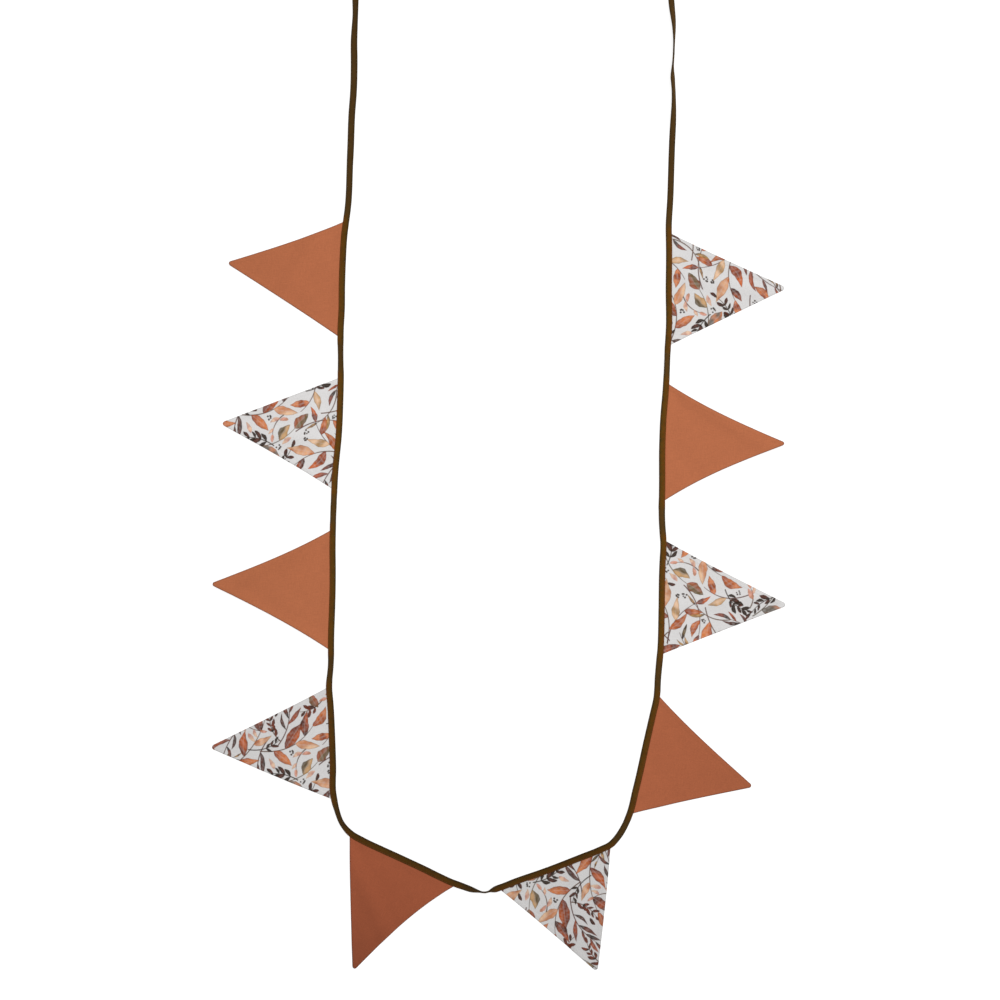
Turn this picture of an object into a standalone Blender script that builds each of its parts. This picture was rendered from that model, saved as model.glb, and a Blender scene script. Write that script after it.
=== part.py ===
"""Bunting: ten turned-out cotton pennants sewn into one folded binding tape, lying in a long U.

Metres, +Z up. The cloth lies on the plane z = 0. The two tie ends are at +Y and the foot of the U is at -Y.
The tape is followed from the left tie end, down the left strand, across the foot and up the right strand.
The pennants hang on the right-hand side of that way, which is outside the U.
"""

import math
from collections import namedtuple

import bmesh
import bpy
import numpy as np

MM = 0.001

# Tape sizes: a 20 mm binding folded in half
TAPE_WIDTH = 10 * MM
TAPE_THICK_IN_GAP = 2.0 * MM
WALL = 0.6 * MM
FOLD_ROUND = 0.8 * MM
FOLD_BLUNTNESS = 0.4
SWELL_FROM = 18 * MM
SWELL_FULL = 6 * MM

# Pennant sizes
CLOTH = 1.1 * MM
TAB_DEPTH = 7 * MM
TIP_RADIUS = 4.2 * MM
HOLLOW_NEAR_TOP = 0.4
LEAVE = 0.6 * MM
SETTLE = 14 * MM
RIDGE_FADE = 24 * MM
TIP_CURL_FROM = 0.78

# Fit
CLEARANCE = 0.3 * MM
CUTTER_OVERRUN = 2 * MM
SLOT = CLOTH + 2 * CLEARANCE
TAPE_THICK = SLOT + 2 * WALL

# Facets
FINE_STEP = 0.5 * MM
LONGEST_STEP = 17 * MM
LARGEST_TURN = math.radians(9)
ROWS = 10
TIP_ROWS = 3

# The middle of the outline, taken off every place so that the origin is under the middle of the whole
MIDDLE_MM = np.array([0.1, 0.2])

# How the tape lies: x and y of its middle line in mm
RoutePoint = namedtuple("RoutePoint", "x y")
LEFT_STRAND = (
    RoutePoint(-214.6, 747.7),
    RoutePoint(-214.6, 728),
    RoutePoint(-214.5, 689),
    RoutePoint(-216.7, 645),
    RoutePoint(-216.5, 611),
    RoutePoint(-217.6, 566),
    RoutePoint(-219.8, 536),
    RoutePoint(-222.4, 475),
    RoutePoint(-225.0, 407),
    RoutePoint(-231.8, 347),
    RoutePoint(-233.2, 321),
    RoutePoint(-234.7, 277),
    RoutePoint(-235.2, 245),
    RoutePoint(-236.7, 213),
    RoutePoint(-236.6, 170),
    RoutePoint(-236.7, 125),
    RoutePoint(-239.4, 56),
    RoutePoint(-245.2, -8),
    RoutePoint(-248.0, -76),
    RoutePoint(-248.6, -112),
    RoutePoint(-248.4, -150),
    RoutePoint(-249.4, -206),
    RoutePoint(-251.1, -258),
    RoutePoint(-251.6, -290),
    RoutePoint(-253.9, -324),
    RoutePoint(-252.0, -348),
    RoutePoint(-249.9, -391),
    RoutePoint(-248.3, -442),
    RoutePoint(-247.9, -483),
)
FOOT = (
    RoutePoint(-242.6, -507),
    RoutePoint(-234.5, -528),
    RoutePoint(-222.0, -542.7),
    RoutePoint(-204.0, -553.3),
    RoutePoint(-177.0, -566.2),
    RoutePoint(-147.0, -579.8),
    RoutePoint(-114.0, -595.1),
    RoutePoint(-87.0, -608.7),
    RoutePoint(-72.0, -615.7),
    RoutePoint(-57.0, -621.2),
    RoutePoint(-33.0, -628.6),
    RoutePoint(-20.0, -630.8),
    RoutePoint(-9.0, -627.6),
    RoutePoint(6.0, -622.8),
    RoutePoint(24.0, -615.6),
    RoutePoint(36.0, -611.2),
    RoutePoint(63.0, -601.9),
    RoutePoint(123.0, -579.0),
    RoutePoint(153.0, -567.3),
    RoutePoint(168.5, -559.5),
    RoutePoint(179.0, -548),
    RoutePoint(189.0, -531.5),
    RoutePoint(196.5, -514),
)
RIGHT_STRAND = (
    RoutePoint(206.0, -477),
    RoutePoint(220.1, -414.8),
    RoutePoint(232.3, -361),
    RoutePoint(236.9, -341),
    RoutePoint(239.4, -307),
    RoutePoint(243.2, -260),
    RoutePoint(244.4, -210),
    RoutePoint(246.0, -137),
    RoutePoint(247.2, -111),
    RoutePoint(245.5, -78),
    RoutePoint(245.2, -20),
    RoutePoint(245.5, 35),
    RoutePoint(247.0, 75),
    RoutePoint(251.0, 124),
    RoutePoint(253.7, 181),
    RoutePoint(255.6, 215),
    RoutePoint(255.4, 269),
    RoutePoint(255.8, 345),
    RoutePoint(255.6, 366),
    RoutePoint(257.5, 408),
    RoutePoint(260.1, 485),
    RoutePoint(262.5, 570),
    RoutePoint(261.2, 594),
    RoutePoint(262.9, 630),
    RoutePoint(262.8, 668),
    RoutePoint(259.5, 702),
    RoutePoint(257.9, 728),
    RoutePoint(257.7, 747.7),
)
ROUTE = LEFT_STRAND + FOOT + RIGHT_STRAND

# Where the tape leans over on its stitched edge, its fold in the air: the middle of each lean as a length of
# tape in mm, how far it leans in degrees, and how far it is from there to where the tape lies flat again
Lean = namedtuple("Lean", "at degrees reach")
LEANS = (
    Lean(58, 38, 38),
    Lean(577, 32, 30),
    Lean(806, 10, 30),
    Lean(1045, 22, 28),
    Lean(1270, 46, 31),
    Lean(1514, 84, 29),
    Lean(1748, 38, 30),
    Lean(1989, 10, 30),
    Lean(2221, 8, 30),
    Lean(2456, 16, 29),
    Lean(2863, 56, 130),
    Lean(2922, 84, 95),
)

# Each pennant in mm, in order along the tape. start: where its first corner leaves the tape, in mm of tape.
# skew: how far its tip is past the middle of its top. hollow: how far each side bows in.
Pennant = namedtuple("Pennant", "cloth start width depth skew hollow_first hollow_last curl")
PENNANTS = (
    Pennant("plain", 375, 170, 167.4, -16.5, 2.7, 1.0, 1.2),
    Pennant("print", 609, 165, 167.5, -5, -0.2, 2.0, 0.0),
    Pennant("plain", 838, 177, 174, -6, 4.1, 3.8, 1.5),
    Pennant("print", 1074, 165, 174.5, -2, 1.0, -1.3, 0.0),
    Pennant("plain", 1301, 171, 175.2, 5.3, -0.9, 7.4, 0.0),
    Pennant("print", 1544, 174, 161.5, 3, 1.0, -1.2, 1.0),
    Pennant("plain", 1779, 178, 163, -10.3, 1.4, 3.0, 0.0),
    Pennant("print", 2022, 168, 180.5, -6, 0.4, 1.4, 1.5),
    Pennant("plain", 2252, 174, 175, 4.6, 6.1, 4.8, 1.5),
    Pennant("print", 2486, 165, 168.5, 3.4, 0.3, 0.9, 0.0),
)

# The soft folds in mm and degrees. along and out: a point under the fold's crest, from the middle of the
# pennant's top. angle: the crest's way, from the line of the top. reach: from the crest to the flat.
Fold = namedtuple("Fold", "pennant along out angle height reach")
FOLDS = (
    Fold(1, -10, 66, 25, 2.0, 21),
    Fold(2, 5, 95, 95, 1.6, 18),
    Fold(3, -52, 62, 62, 2.2, 18),
    Fold(3, 50, 66, 118, 1.8, 18),
    Fold(4, 20, 70, 60, 1.5, 18),
    Fold(5, -18, 72, 38, 2.8, 22),
    Fold(5, 46, 62, 128, 2.0, 18),
    Fold(6, 10, 60, 110, 1.8, 19),
    Fold(7, -20, 66, 30, 2.2, 21),
    Fold(8, 0, 100, 80, 1.6, 18),
    Fold(9, -48, 70, 64, 2.2, 18),
    Fold(9, 50, 60, 120, 1.8, 18),
    Fold(10, 8, 76, 100, 1.6, 19),
)

# Colours
COLOURS = {
    "binding tape": (0.098, 0.048, 0.008),
    "terracotta cotton": (0.445, 0.139, 0.065),
    "leaf print cotton": (0.745, 0.760, 0.775),
}
CLOTH_OF = {"plain": "terracotta cotton", "print": "leaf print cotton"}


def clear_scene():
    for obj in list(bpy.data.objects):
        bpy.data.objects.remove(obj, do_unlink=True)


def cloth_material(name):
    material = bpy.data.materials.new(name)
    material.use_nodes = True
    shader = material.node_tree.nodes["Principled BSDF"]
    shader.inputs["Base Color"].default_value = (*COLOURS[name], 1.0)
    shader.inputs["Roughness"].default_value = 0.9
    shader.inputs["Metallic"].default_value = 0.0
    return material


def smoothstep(t):
    t = np.clip(t, 0.0, 1.0)
    return t * t * (3 - 2 * t)


class Route:
    """The tape's middle line: a smooth curve through the route's points, read by length of tape."""

    def __init__(self, rows):
        points = (np.array([(row.x, row.y) for row in rows], float) - MIDDLE_MM) * MM
        knots = np.r_[0, np.cumsum(np.hypot(*np.diff(points, axis=0).T))]
        slopes = np.gradient(points, knots, axis=0)
        t = np.linspace(0, knots[-1], int(knots[-1] / FINE_STEP) + 1)
        k = np.clip(np.searchsorted(knots, t, side="right") - 1, 0, len(knots) - 2)
        span = (knots[k + 1] - knots[k])[:, None]
        f = (t - knots[k])[:, None] / span
        self.xy = (
            points[k] * (1 + 2 * f) * (1 - f) ** 2
            + points[k + 1] * (3 - 2 * f) * f**2
            + span * (slopes[k] * f * (1 - f) ** 2 - slopes[k + 1] * (1 - f) * f**2)
        )
        self.length = np.r_[0, np.cumsum(np.hypot(*np.diff(self.xy, axis=0).T))]
        self.way = np.gradient(self.xy, self.length, axis=0)
        self.way /= np.linalg.norm(self.way, axis=1)[:, None]

    def at(self, s):
        """Middle point and outward direction at these lengths of tape."""
        xy = np.stack([np.interp(s, self.length, self.xy[:, i]) for i in (0, 1)], -1)
        way = np.stack([np.interp(s, self.length, self.way[:, i]) for i in (0, 1)], -1)
        way /= np.linalg.norm(way, axis=-1, keepdims=True)
        return xy, np.stack([way[..., 1], -way[..., 0]], -1)

    def stations(self):
        """Lengths of tape, close together where it bends or leans and far apart where it is straight."""
        turn = np.abs(np.diff(np.unwrap(np.arctan2(self.way[:, 1], self.way[:, 0]))))
        roll = np.abs(np.diff(tape_lean(self.length)))
        cost = np.diff(self.length) / LONGEST_STEP + (turn + roll) / LARGEST_TURN
        total = np.r_[0, np.cumsum(cost)]
        count = int(math.ceil(total[-1]))
        return np.interp(np.linspace(0, total[-1], count + 1), total, self.length)


def tape_lean(s):
    """Angle at which the tape leans: the largest of its leans there, each a cosine-squared hump."""
    lean = np.zeros_like(s)
    for row in LEANS:
        near = np.minimum(np.abs(s - row.at * MM) / (row.reach * MM), 1)
        lean = np.maximum(lean, math.radians(row.degrees) * np.cos(near * math.pi / 2) ** 2)
    return lean


def tape_thickness(s):
    """Full thickness where a pennant is between the tape's halves, less in the gaps, with a soft change."""
    swell = np.zeros_like(s)
    for row in PENNANTS:
        inside = np.minimum(s - row.start * MM, (row.start + row.width) * MM - s)
        swell = np.maximum(swell, smoothstep((inside + SWELL_FROM) / (SWELL_FROM - SWELL_FULL)))
    return TAPE_THICK_IN_GAP + (TAPE_THICK - TAPE_THICK_IN_GAP) * swell


def tape_section(thickness):
    """The folded tape's section: (towards the stitched edge, up), with a round fold and a square open edge."""
    half = TAPE_WIDTH / 2
    up = thickness / 2
    return (
        (-half, -FOLD_BLUNTNESS * up),
        (-half + FOLD_ROUND, -up),
        (half, -up),
        (half, up),
        (-half + FOLD_ROUND, up),
        (-half, FOLD_BLUNTNESS * up),
    )


def slot_section():
    """The slot in the tape's stitched edge that a pennant's top goes into."""
    far = TAPE_WIDTH / 2 + CUTTER_OVERRUN
    near = TAPE_WIDTH / 2 - TAB_DEPTH - CLEARANCE
    return ((near, -SLOT / 2), (far, -SLOT / 2), (far, SLOT / 2), (near, SLOT / 2))


def mesh_object(name, vertices, faces, material):
    mesh = bpy.data.meshes.new(name)
    mesh.from_pydata([tuple(map(float, v)) for v in vertices], [], faces)
    if material is not None:
        mesh.materials.append(material)
    shape = bmesh.new()
    shape.from_mesh(mesh)
    bmesh.ops.recalc_face_normals(shape, faces=shape.faces)
    shape.to_mesh(mesh)
    shape.free()
    obj = bpy.data.objects.new(name, mesh)
    bpy.context.scene.collection.objects.link(obj)
    return obj


def carried_along(route, stations, sections):
    """Vertices and faces of a section carried along the tape: a ring for each station and two end caps.

    A point of a ring is its middle + across (outward cos lean - up sin lean)
    + above (outward sin lean + up cos lean).
    """
    xy, outward = route.at(stations)
    lean = tape_lean(stations)
    thick = tape_thickness(stations)
    middle_height = TAPE_WIDTH / 2 * np.sin(lean) + thick / 2 * np.cos(lean)
    across, above = np.moveaxis(np.array(sections), -1, 0)
    sideways = across * np.cos(lean)[:, None] + above * np.sin(lean)[:, None]
    height = middle_height[:, None] - across * np.sin(lean)[:, None] + above * np.cos(lean)[:, None]
    flat = xy[:, None, :] + sideways[..., None] * outward[:, None, :]
    vertices = np.concatenate([flat, height[..., None]], -1)
    rings, sides = across.shape
    faces = [
        (i * sides + j, i * sides + (j + 1) % sides, (i + 1) * sides + (j + 1) % sides, (i + 1) * sides + j)
        for i in range(rings - 1)
        for j in range(sides)
    ]
    faces += [tuple(range(sides)), tuple(range((rings - 1) * sides, rings * sides))]
    return vertices.reshape(-1, 3), faces


def lengths_along(row, stations, spare=0.0):
    """The tape's stations beside a pennant, and its two corners with this much to spare."""
    first = row.start * MM
    last = (row.start + row.width) * MM
    between = stations[(stations > first + MM) & (stations < last - MM)]
    return np.r_[first - spare, between, last + spare]


def slot_cutter(route, stations):
    """Ten curved slabs in one helper object, one for each pennant's top."""
    vertices, faces = [], []
    for row in PENNANTS:
        lengths = lengths_along(row, stations, CLEARANCE)
        slab, slab_faces = carried_along(route, lengths, [slot_section()] * len(lengths))
        shift = sum(len(v) for v in vertices)
        vertices.append(slab)
        faces += [tuple(k + shift for k in face) for face in slab_faces]
    cutter = mesh_object("slot_cutter", np.concatenate(vertices), faces, None)
    cutter.hide_render = True
    cutter.display_type = "WIRE"
    return cutter


def binding_tape(route, stations, material):
    sections = [tape_section(thickness) for thickness in tape_thickness(stations)]
    tape = mesh_object("binding_tape", *carried_along(route, stations, sections), material)
    cut = tape.modifiers.new("slots", "BOOLEAN")
    cut.operation = "DIFFERENCE"
    cut.solver = "EXACT"
    cut.object = slot_cutter(route, stations)
    return tape


def tip_rows(half_width, depth):
    """Fractions of the way to where the sides would meet, and how much the rounded tip narrows there.

    A circle of TIP_RADIUS fits between the sides. Its rows are at even angles from where it touches them.
    """
    slope = math.atan2(half_width, depth)
    centre = TIP_RADIUS / math.sin(slope)
    to_point = depth + centre - TIP_RADIUS
    angles = np.linspace(slope, math.pi / 2, TIP_ROWS + 1)
    left = centre - TIP_RADIUS * np.sin(angles)
    straight = left * math.tan(slope)
    narrowing = TIP_RADIUS * np.cos(angles) / straight
    return 1 - left / to_point, np.clip(narrowing, 0, 1), to_point


def relief(number, row, along, out, fraction):
    """Height of the underside: down from the slot, over its soft folds, and up where the tip curls."""
    slot_height = TAPE_THICK / 2 - CLOTH / 2
    height = slot_height * (1 - smoothstep(out / SETTLE))
    for fold in FOLDS:
        if fold.pennant != number:
            continue
        angle = math.radians(fold.angle)
        off = (along - fold.along * MM) * math.sin(angle) - (out - fold.out * MM) * math.cos(angle)
        near = np.minimum(np.abs(off) / (fold.reach * MM), 1)
        height += fold.height * MM * np.cos(near * math.pi / 2) ** 2 * smoothstep(out / RIDGE_FADE)
    height += row.curl * MM * smoothstep((fraction - TIP_CURL_FROM) / (1 - TIP_CURL_FROM))
    return height


def pennant_plan(row, route, stations):
    """The pennant seen from above, a row of points for each step down, then one point at the tip.

    A row lies between the two sides, on lines from the tape to the point where the sides meet. A side's hollow
    is a bow of 4 d (1 - d), a little deeper on its upper half. Gives the points, how far each is along and out
    from the middle of the pennant's top, and how far down it is of the whole.
    """
    lengths = lengths_along(row, stations)
    spread = (lengths - lengths[0]) / (lengths[-1] - lengths[0])
    base, outward = route.at(lengths)
    edge = base + outward * TAPE_WIDTH / 2
    top_line = edge[-1] - edge[0]
    half_width = np.hypot(*top_line) / 2
    along_way = top_line / (2 * half_width)
    out_way = np.array([along_way[1], -along_way[0]])
    fractions, narrowing, to_point = tip_rows(half_width, row.depth * MM)
    middle = (edge[0] + edge[-1]) / 2
    point = middle + out_way * to_point + along_way * row.skew * MM

    even = np.linspace(0, fractions[0], ROWS + 1)[1:]
    down = np.r_[LEAVE / to_point, SETTLE / 2 / to_point, even, fractions[1:-1]]
    narrow = np.r_[np.ones(ROWS + 2), narrowing[1:-1]]
    ruled = edge * (1 - down[:, None, None]) + point * down[:, None, None]
    bow = 4 * down * (1 - down) * (1 + HOLLOW_NEAR_TOP * (1 - 2 * down))
    bow_in = row.hollow_first * np.outer(bow, (1 - spread) ** 2) - row.hollow_last * np.outer(bow, spread**2)
    ruled += bow_in[..., None] * MM * along_way
    centre = ruled.mean(axis=1, keepdims=True)
    body = centre + (ruled - centre) * narrow[:, None, None]

    tab = base + outward * (TAPE_WIDTH / 2 - TAB_DEPTH)
    tip = middle + out_way * row.depth * MM + along_way * row.skew * MM * fractions[-1]
    flat = np.concatenate([np.concatenate([tab[None], body]).reshape(-1, 2), tip[None]])
    fraction = np.r_[np.zeros(len(spread)), np.repeat(down, len(spread)), fractions[-1]]
    return flat, (flat - middle) @ along_way, (flat - middle) @ out_way, fraction, len(spread)


def sheet_faces(count, wide):
    """Faces of a sheet: underside, upper side and rim, from rows of points and one point at the tip."""
    rows = (count - 1) // wide
    tip = count - 1
    under = [
        (i * wide + j, i * wide + j + 1, (i + 1) * wide + j + 1, (i + 1) * wide + j)
        for i in range(rows - 1)
        for j in range(wide - 1)
    ]
    under += [((rows - 1) * wide + j, (rows - 1) * wide + j + 1, tip) for j in range(wide - 1)]
    upper = [tuple(k + count for k in reversed(face)) for face in under]
    last_side = [(i + 1) * wide - 1 for i in range(1, rows)]
    first_side = [i * wide for i in range(rows - 1, 0, -1)]
    rim = list(range(wide)) + last_side + [tip] + first_side
    return under + upper + [(a, b, b + count, a + count) for a, b in zip(rim, rim[1:] + rim[:1])]


def pennant(number, row, route, stations, material):
    """A sheet of even thickness from the slot in the tape to the rounded tip."""
    flat, along, out, fraction, wide = pennant_plan(row, route, stations)
    under = relief(number, row, along, out, fraction)
    under[: 2 * wide] = TAPE_THICK / 2 - CLOTH / 2
    vertices = np.concatenate([np.c_[flat, under], np.c_[flat, under + CLOTH]])
    name = f"pennant_{number:02d}_{row.cloth}"
    return mesh_object(name, vertices, sheet_faces(len(flat), wide), material)


def main():
    clear_scene()
    materials = {name: cloth_material(name) for name in COLOURS}
    route = Route(ROUTE)
    stations = route.stations()
    binding_tape(route, stations, materials["binding tape"])
    for number, row in enumerate(PENNANTS, start=1):
        pennant(number, row, route, stations, materials[CLOTH_OF[row.cloth]])


main()
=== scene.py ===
import math
from collections import namedtuple

import bpy
import numpy as np
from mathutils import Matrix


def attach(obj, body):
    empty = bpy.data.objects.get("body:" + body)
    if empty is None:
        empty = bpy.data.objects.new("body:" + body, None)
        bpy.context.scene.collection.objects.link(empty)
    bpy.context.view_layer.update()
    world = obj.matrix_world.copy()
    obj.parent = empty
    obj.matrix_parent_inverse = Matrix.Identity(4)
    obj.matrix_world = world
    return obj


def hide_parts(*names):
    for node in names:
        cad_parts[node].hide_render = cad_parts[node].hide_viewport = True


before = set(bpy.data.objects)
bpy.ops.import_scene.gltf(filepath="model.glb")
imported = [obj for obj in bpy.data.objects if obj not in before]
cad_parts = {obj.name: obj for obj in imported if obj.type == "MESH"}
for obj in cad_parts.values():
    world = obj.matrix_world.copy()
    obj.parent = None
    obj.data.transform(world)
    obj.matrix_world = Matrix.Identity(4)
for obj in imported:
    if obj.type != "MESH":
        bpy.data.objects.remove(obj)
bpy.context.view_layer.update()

bl_info = {
    "name": "Cotton bunting",
    "version": (1, 0, 0),
    "blender": (4, 5, 0),
    "location": "3D View > Sidebar > Bunting",
    "description": "Dresses ten turned-out cotton pennants and the folded binding tape that holds them",
    "category": "Add Mesh",
}

# Every length below is in millimetres until put_mesh writes it in metres. The panel's settings are in metres.
METRES = 0.001
MM = 1000

# How the tape lies: x and y of its middle line, from the left tie end down, across the foot, up to the right
MIDDLE = np.array([0.1, 0.2])
ROUTE = (
    (-214.6, 747.7), (-214.6, 728), (-214.5, 689), (-216.7, 645), (-216.5, 611), (-217.6, 566), (-219.8, 536),
    (-222.4, 475), (-225, 407), (-231.8, 347), (-233.2, 321), (-234.7, 277), (-235.2, 245), (-236.7, 213),
    (-236.6, 170), (-236.7, 125), (-239.4, 56), (-245.2, -8), (-248, -76), (-248.6, -112), (-248.4, -150),
    (-249.4, -206), (-251.1, -258), (-251.6, -290), (-253.9, -324), (-252, -348), (-249.9, -391),
    (-248.3, -442), (-247.9, -483), (-242.6, -507), (-234.5, -528), (-222, -542.7), (-204, -553.3),
    (-177, -566.2), (-147, -579.8), (-114, -595.1), (-87, -608.7), (-72, -615.7), (-57, -621.2),
    (-33, -628.6), (-20, -630.8), (-9, -627.6), (6, -622.8), (24, -615.6), (36, -611.2), (63, -601.9),
    (123, -579), (153, -567.3), (168.5, -559.5), (179, -548), (189, -531.5), (196.5, -514), (206, -477),
    (220.1, -414.8), (232.3, -361), (236.9, -341), (239.4, -307), (243.2, -260), (244.4, -210), (246, -137),
    (247.2, -111), (245.5, -78), (245.2, -20), (245.5, 35), (247, 75), (251, 124), (253.7, 181), (255.6, 215),
    (255.4, 269), (255.8, 345), (255.6, 366), (257.5, 408), (260.1, 485), (262.5, 570), (261.2, 594),
    (262.9, 630), (262.8, 668), (259.5, 702), (257.9, 728), (257.7, 747.7),
)

# Where the tape leans over on its stitched edge: the middle of each lean along the tape, degrees, and how far
# it is from there to where the tape lies flat, before and after
Lean = namedtuple("Lean", "at degrees before after")
LEANS = (
    Lean(64, 33, 44, 46), Lean(577, 22, 34, 34), Lean(806, 6, 30, 30), Lean(1045, 15, 28, 28),
    Lean(1270, 28, 31, 31), Lean(1521.5, 85, 37, 21), Lean(1748, 6, 30, 30), Lean(1989, 5, 30, 30),
    Lean(2221, 5, 30, 30), Lean(2456, 14, 29, 29), Lean(2868, 53, 84, 70), Lean(2920, 86, 70, 106),
)

# Each pennant in order along the tape. skew: how far its tip is past the middle of its top. hollow: how far
# each side bows in. shade: painted shade, how bright its cloth is painted beside the others, darkest round
# the
# foot. fade: painted shade, how much of that it loses by its tip. window: where its print is cut from the
# printed cloth (x, y, turn in degrees).
Pennant = namedtuple(
    "Pennant", "cloth start width depth skew hollow_first hollow_last curl shade fade window")
PENNANTS = (
    Pennant("plain", 375, 170, 167.4, -16.5, 2.7, 1.0, 1.2, 1.05, 0.07, None),
    Pennant("print", 609, 165, 167.5, -5, -0.2, 2.0, 0.0, 0.97, 0.04, (187, 178, 332)),
    Pennant("plain", 838, 177, 174, -6, 4.1, 3.8, 1.5, 1.07, 0.08, None),
    Pennant("print", 1074, 165, 174.5, -2, 1.0, -1.3, 0.0, 0.89, 0.06, (180, 21, 330)),
    Pennant("plain", 1301, 171, 175.2, 5.3, -0.9, 7.4, 0.0, 0.78, 0.32, None),
    Pennant("print", 1544, 174, 161.5, 3, 1.0, -1.2, 1.0, 0.81, 0.10, (52, 73, 80)),
    Pennant("plain", 1779, 178, 163, -10.3, 1.4, 3.0, 0.0, 0.92, 0.09, None),
    Pennant("print", 2022, 168, 180.5, -6, 0.4, 1.4, 1.5, 0.92, 0.03, (23, 200, 68)),
    Pennant("plain", 2252, 174, 175, 4.6, 6.1, 4.8, 1.5, 1.06, 0.03, None),
    Pennant("print", 2486, 165, 168.5, 3.4, 0.3, 0.9, 0.0, 0.90, 0.03, (183, 52, 224)),
)

# Soft folds: a point under each crest from the middle of the pennant's top, its way, height and reach
Fold = namedtuple("Fold", "pennant along out angle height reach")
FOLDS = (
    Fold(1, -10, 66, 25, 2.0, 21),
    Fold(2, 5, 95, 95, 1.6, 18),
    Fold(3, -52, 62, 62, 2.2, 18),
    Fold(3, 50, 66, 118, 1.8, 18),
    Fold(4, 20, 70, 60, 1.5, 18),
    Fold(5, -18, 72, 38, 2.8, 22),
    Fold(5, 46, 62, 128, 2.0, 18),
    Fold(6, 10, 60, 110, 1.8, 19),
    Fold(7, -20, 66, 30, 2.2, 21),
    Fold(8, 0, 100, 80, 1.6, 18),
    Fold(9, -48, 70, 64, 2.2, 18),
    Fold(9, 50, 60, 120, 1.8, 18),
    Fold(10, 8, 76, 100, 1.6, 19),
)

# Sizes that tape and pennants share with the solids
SOLID_TAPE_WIDTH = 10.0
SOLID_TAPE_THICK = 2.9
SOLID_CLOTH = 1.1
SWELL_FROM, SWELL_FULL = 18.0, 6.0
TIP_RADIUS = 4.2
HOLLOW_NEAR_TOP = 0.4
SETTLE, RIDGE_FADE = 14.0, 24.0
TIP_CURL_FROM = 0.78

# The tape's section. Its fold and lips are wider by the second number where a pennant is between its halves.
FOLD_RADIUS, FOLD_SWELL = 0.62, 0.43
LIP_GAP, LIP_SWELL = 0.06, 0.60
BULGE, PARTED = 0.16, 0.45
PINCH, PINCH_REACH = 0.17, 0.55
GAP_NARROWING, NARROWING_OVER = 0.055, 20
FROM_LIP = np.array([0.0, 0.3, 0.9, 1.5, 2.1, 3.2, 5.0, 7.0, 100.0])
FOLD_ANGLES = np.radians([60, 30, 0, -30, -60])
LIP_THINNED = 0.45
TAPE_STEP = 2.9
WAVER, WAVER_LENGTH = 0.15, 90.0

# A stitch: the section's column that it lies on, how far from the tape's ends the rows stop, how much of the
# pitch it takes, and the place, lift and slant of its four rings
STITCH_COLUMN, STITCHES_FROM_END, STITCH_LENGTH = 3, 4.0, 0.78
STITCH_SHARES = np.array([0.0, 0.22, 0.78, 1.0])
STITCH_LIFTS = np.array([-0.16, 0.10, 0.10, -0.16])
STITCH_SLANT = np.array([-0.10, -0.05, 0.05, 0.10])

# A pennant: how deep the two rows of its tab lie in the tape, its rounded rim, and how far it takes to change
# from its seam turnings and from the tape's slot. Its rows are closer near the tip, its points at the rim.
TAB = (4.6, 2.3)
ROUNDED_RIM, TURNING_END, SLOT_END = 0.9, 2.2, 4.0
PLAIN_ROWS, PRINT_ROWS, CLOSE_ROWS = 112, 248, 4
RIM_STRIP, RIM_STRIP_SHARE = 0.5, 0.6

# Its puckers: their length, their beat, how far they reach from a seam, and how far from the tape they are
# full. Its swells: their length, and how far from a seam and from the tape they are full.
PUCKER_LENGTHS, PUCKER_BEAT, PUCKER_REACH, PUCKERS_FROM = (8.0, 12.0), 23.0, 5.0, 10.0
SWELL_LENGTH, SWELL_FROM_SEAM, SWELL_FROM_TAPE = 46.0, 14.0, 22.0

# Cloth: the pitch of its threads in metres, how strongly a plain pennant's red, green and blue follow its
# shade, and how far the back's print is from the front's
THREAD_PITCH, BINDING_PITCH = 0.00045, 0.00055
SHADE_POWERS = np.array([1.0, 1.6, 1.6])
BACK_SHIFT = (71, 43)

# How much of its full width the tape shows at places along it: it rolls over a little more in some stretches
WIDTHS = (
    (0, 0.97), (90, 0.97), (120, 1.02), (270, 1.0), (290, 0.96), (375, 0.94), (460, 0.95), (690, 0.93),
    (785, 0.93), (800, 0.98), (815, 0.96), (838, 0.92), (925, 0.91), (1155, 0.97), (1240, 0.97), (1250, 0.90),
    (1290, 0.90), (1301, 0.97), (1390, 0.97), (1460, 0.98), (1500, 1.02), (1545, 0.96), (1630, 0.945),
    (1718, 0.97), (1744, 1.06), (1757, 1.03), (1779, 0.97), (1865, 0.99), (1957, 0.96), (1980, 1.02),
    (2006, 1.05), (2026, 0.95), (2190, 0.94), (2205, 1.02), (2240, 1.03), (2256, 0.94), (2426, 0.94),
    (2455, 0.98), (2486, 0.93), (3044, 0.93),
)

# Painted shade along the tape: how light it is painted at places along it, darker on the ties and round the
# foot
TAPE_SHADES = (
    (0, 0.76), (330, 0.76), (420, 0.87), (560, 0.93), (620, 1.0), (780, 1.0), (850, 0.89), (1010, 0.87),
    (1080, 0.75), (1230, 0.70), (1310, 0.61), (1700, 0.62), (1790, 0.76), (1960, 0.83), (2030, 0.98),
    (2480, 1.0), (2640, 0.95), (2740, 0.78), (3044, 0.76),
)

# The stage: the floor in mm, the square lamp and the point that the camera is over in metres, and its sensor
FLOOR_REACH, FLOOR_HEIGHT = 20000.0, -0.1
KEY_SIZE, KEY_PLACE = 2.2, (2.2, 2.2, 3.3)
CAMERA_OVER, SENSOR = (0.00215, -0.04295), 36.0

# The inks of the leaf print, as seen on screen
INKS = {
    "terracotta": (218, 127, 68),
    "orange": (214, 103, 36),
    "rust": (174, 77, 27),
    "brick": (134, 58, 30),
    "burgundy": (92, 46, 32),
    "brown": (56, 40, 29),
    "umber": (98, 64, 40),
    "tan": (204, 156, 98),
    "olive": (110, 86, 40),
    "blush": (231, 153, 126),
    "peach": (241, 197, 158),
    "ash": (112, 100, 86),
}

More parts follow.
